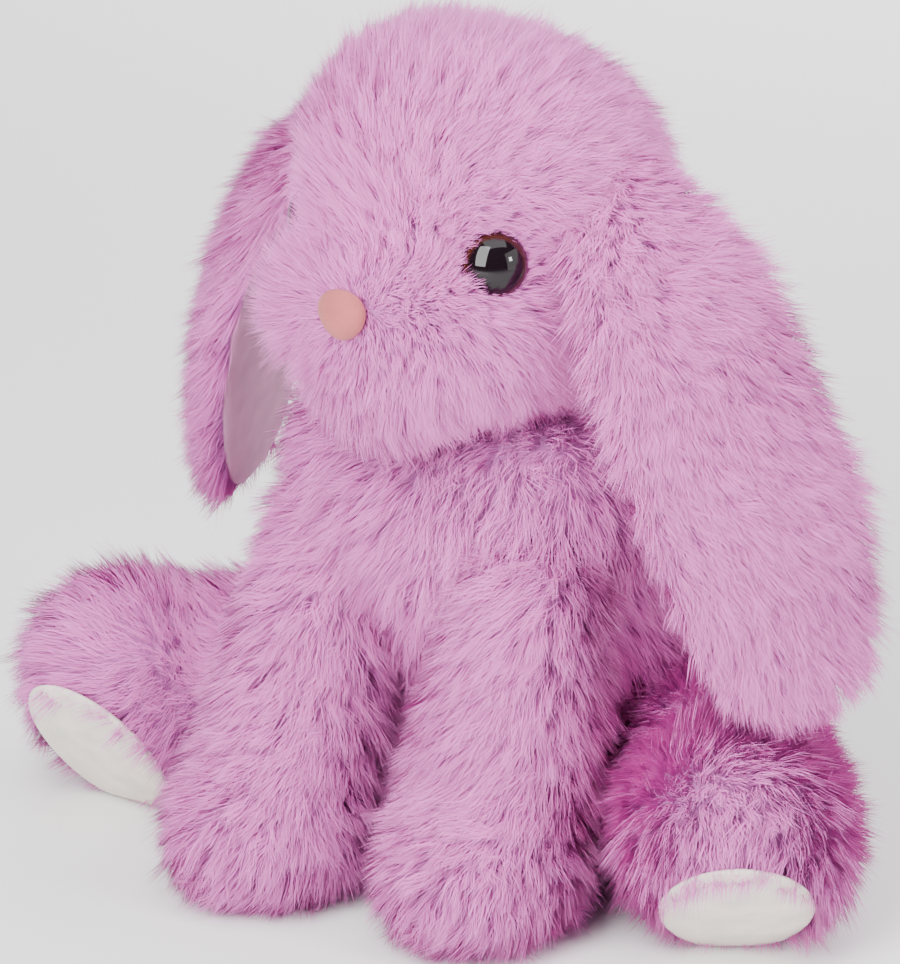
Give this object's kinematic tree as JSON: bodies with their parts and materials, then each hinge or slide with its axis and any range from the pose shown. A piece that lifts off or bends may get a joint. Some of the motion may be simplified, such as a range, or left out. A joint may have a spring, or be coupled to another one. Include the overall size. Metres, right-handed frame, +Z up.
{
  "type": "stuffed bunny rabbit",
  "caption": "Seated lop-eared bunny soft toy in lilac long-pile plush, with domed eyes, a velour nose, lined ears and pale soles.",
  "frame": {"origin": "middle of the flat seat face on the surface that the toy sits on", "axes": "+Z up, -Y the way the bunny faces, +X its left side"},
  "size_m": [0.2151, 0.138, 0.196],
  "materials": {
    "plush": "matte",
    "ear_lining": "matte",
    "sole_velour": "matte",
    "nose_velour": "matte",
    "polyester_filling": "matte",
    "eye_dome": "gloss",
    "eye_stem": "gloss",
    "washer_plastic": "satin"
  },
  "bodies": {
    "torso": {"body_back_panel_left": "plush", "body_back_panel_right": "plush", "body_front_panel": "plush", "body_seat_panel": "plush", "body_stuffing": "polyester_filling", "tail_cover": "plush", "tail_stuffing": "polyester_filling"},
    "neck": {"neck_stuffing": "polyester_filling"},
    "head": {"eye_lens_left": "eye_dome", "eye_lens_right": "eye_dome", "eye_stem_left": "eye_stem", "eye_stem_right": "eye_stem", "eye_washer_left": "washer_plastic", "eye_washer_right": "washer_plastic", "head_gusset": "plush", "head_muzzle_panel": "plush", "head_side_left": "plush", "head_side_right": "plush", "head_stuffing": "polyester_filling", "nose": "nose_velour"},
    "ear_base_left": {"ear_base_fur_left": "plush", "ear_base_lining_left": "ear_lining"},
    "ear_tip_left": {"ear_tip_fur_left": "plush", "ear_tip_lining_left": "ear_lining"},
    "front_leg_left": {"front_leg_inner_left": "plush", "front_leg_outer_left": "plush", "front_leg_stuffing_left": "polyester_filling"},
    "hind_leg_left": {"foot_sole_left": "sole_velour", "hind_leg_cover_left": "plush", "hind_leg_stuffing_left": "polyester_filling"},
    "ear_base_right": {"ear_base_fur_right": "plush", "ear_base_lining_right": "ear_lining"},
    "ear_tip_right": {"ear_tip_fur_right": "plush", "ear_tip_lining_right": "ear_lining"},
    "front_leg_right": {"front_leg_inner_right": "plush", "front_leg_outer_right": "plush", "front_leg_stuffing_right": "polyester_filling"},
    "hind_leg_right": {"foot_sole_right": "sole_velour", "hind_leg_cover_right": "plush", "hind_leg_stuffing_right": "polyester_filling"}
  },
  "joints": [
    {"name": "neck_turn", "type": "hinge", "parent": "torso", "child": "neck", "pos_m": [0, -0.0255, 0.121], "axis": [0, 0, 1], "range_deg": [-25, 25], "stiffness_Nm_per_rad": 0.4},
    {"name": "head_nod", "type": "hinge", "parent": "neck", "child": "head", "pos_m": [0, -0.0255, 0.121], "axis": [1, 0, 0], "range_deg": [-12, 8], "stiffness_Nm_per_rad": 0.6},
    {"name": "ear_lift_left", "type": "hinge", "parent": "head", "child": "ear_base_left", "pos_m": [0.041, -0.024, 0.178], "axis": [-0.3959, -0.89, -0.2261], "range_deg": [0, 70]},
    {"name": "ear_fold_left", "type": "hinge", "parent": "ear_base_left", "child": "ear_tip_left", "pos_m": [0.07011, -0.02304, 0.12327], "axis": [-0.3959, -0.89, -0.2261], "range_deg": [0, 45]},
    {"name": "front_leg_swing_left", "type": "hinge", "parent": "torso", "child": "front_leg_left", "pos_m": [0.03, -0.05, 0.084], "axis": [-1, 0, 0], "range_deg": [-5, 50], "stiffness_Nm_per_rad": 0.25},
    {"name": "hind_leg_spread_left", "type": "hinge", "parent": "torso", "child": "hind_leg_left", "pos_m": [0.044, 0.003, 0.022], "axis": [0, 0, 1], "range_deg": [-10, 20], "stiffness_Nm_per_rad": 0.25},
    {"name": "ear_lift_right", "type": "hinge", "parent": "head", "child": "ear_base_right", "pos_m": [-0.041, -0.024, 0.178], "axis": [-0.3521, 0.8706, 0.3436], "range_deg": [0, 70]},
    {"name": "ear_fold_right", "type": "hinge", "parent": "ear_base_right", "child": "ear_tip_right", "pos_m": [-0.07011, -0.01449, 0.12409], "axis": [-0.3521, 0.8706, 0.3436], "range_deg": [0, 45]},
    {"name": "front_leg_swing_right", "type": "hinge", "parent": "torso", "child": "front_leg_right", "pos_m": [-0.03, -0.05, 0.084], "axis": [-1, 0, 0], "range_deg": [-5, 50], "stiffness_Nm_per_rad": 0.25},
    {"name": "hind_leg_spread_right", "type": "hinge", "parent": "torso", "child": "hind_leg_right", "pos_m": [-0.044, 0.003, 0.022], "axis": [0, 0, -1], "range_deg": [-10, 20], "stiffness_Nm_per_rad": 0.25}
  ]
}
